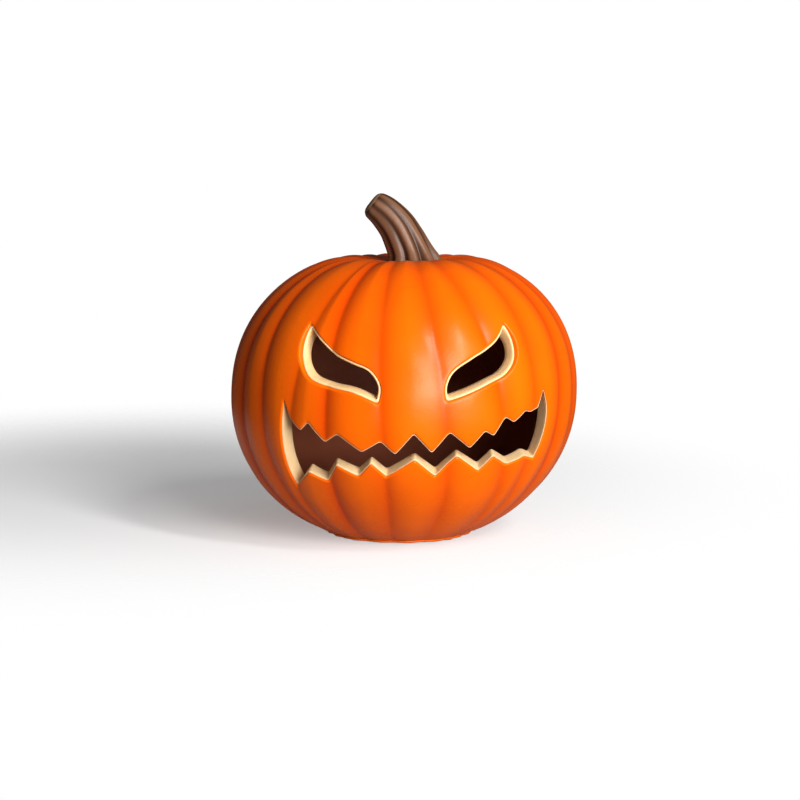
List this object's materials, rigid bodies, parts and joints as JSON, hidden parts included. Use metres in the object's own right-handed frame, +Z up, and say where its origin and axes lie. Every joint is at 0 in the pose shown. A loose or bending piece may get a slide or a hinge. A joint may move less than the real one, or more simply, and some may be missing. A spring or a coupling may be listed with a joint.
{
  "type": "ceramic pumpkin lantern figure",
  "caption": "Lobed round ceramic pumpkin with a curved stem, slanted eye holes, a jagged grin and a battery tea light held in a ring in its base.",
  "frame": {"origin": "on the table under the middle of the figure, the centre of its bounding box seen from above", "axes": "+Z up, the face looks to -Y, +X to the right of someone looking at the face"},
  "size_m": [0.1596, 0.1597, 0.1576],
  "materials": {
    "orange_glaze": "satin orange glaze over white earthenware",
    "cream_slip": "satin cream slip on the cut walls",
    "stem_glaze": "satin brown glaze, darker in the grooves",
    "grey_felt": "stuck-on felt",
    "black_rubber": "moulded rubber",
    "ivory_plastic": "moulded, fine satin texture",
    "milky_plastic": "moulded, translucent milky",
    "screw_steel": "nickel plated",
    "cell_steel": "brushed can",
    "contact_metal": "spring sheet, tinned",
    "board_laminate": "green solder mask",
    "amber_epoxy": "clear amber epoxy",
    "black_plastic": "moulded black",
    "switch_metal": "tinned steel case"
  },
  "bodies": {
    "pumpkin": {"pumpkin_shell": "orange_glaze", "left_eye_trim": "cream_slip", "right_eye_trim": "cream_slip", "mouth_trim": "cream_slip", "stem": "stem_glaze", "foot_pads": "grey_felt", "lamp_ring": "black_rubber"},
    "lamp": {"lamp_cup": "ivory_plastic", "lamp_base_plate": "ivory_plastic", "plate_screws": "screw_steel", "coin_cell": "cell_steel", "battery_holder": "ivory_plastic", "contact_negative": "contact_metal", "contact_positive": "contact_metal", "circuit_board": "board_laminate", "led": "amber_epoxy", "led_leads": "contact_metal", "flicker_chip": "black_plastic", "resistor": "black_plastic", "flame_lens": "milky_plastic", "switch_case": "switch_metal", "switch_pins": "contact_metal"},
    "battery_door": {"battery_door": "ivory_plastic"},
    "switch_slider": {"switch_knob": "black_plastic"}
  },
  "joints": [
    {"name": "lamp_slide", "type": "slide", "parent": "pumpkin", "child": "lamp", "axis": [0, 0, -1], "range_m": [0, 0.045]},
    {"name": "battery_door_turn", "type": "hinge", "parent": "lamp", "child": "battery_door", "pos_m": [0, 0.003, 0.0024], "axis": [0, 0, 1], "range_deg": [0, 60]},
    {"name": "switch_slide", "type": "slide", "parent": "lamp", "child": "switch_slider", "axis": [1, 0, 0], "range_m": [0, 0.003]}
  ]
}
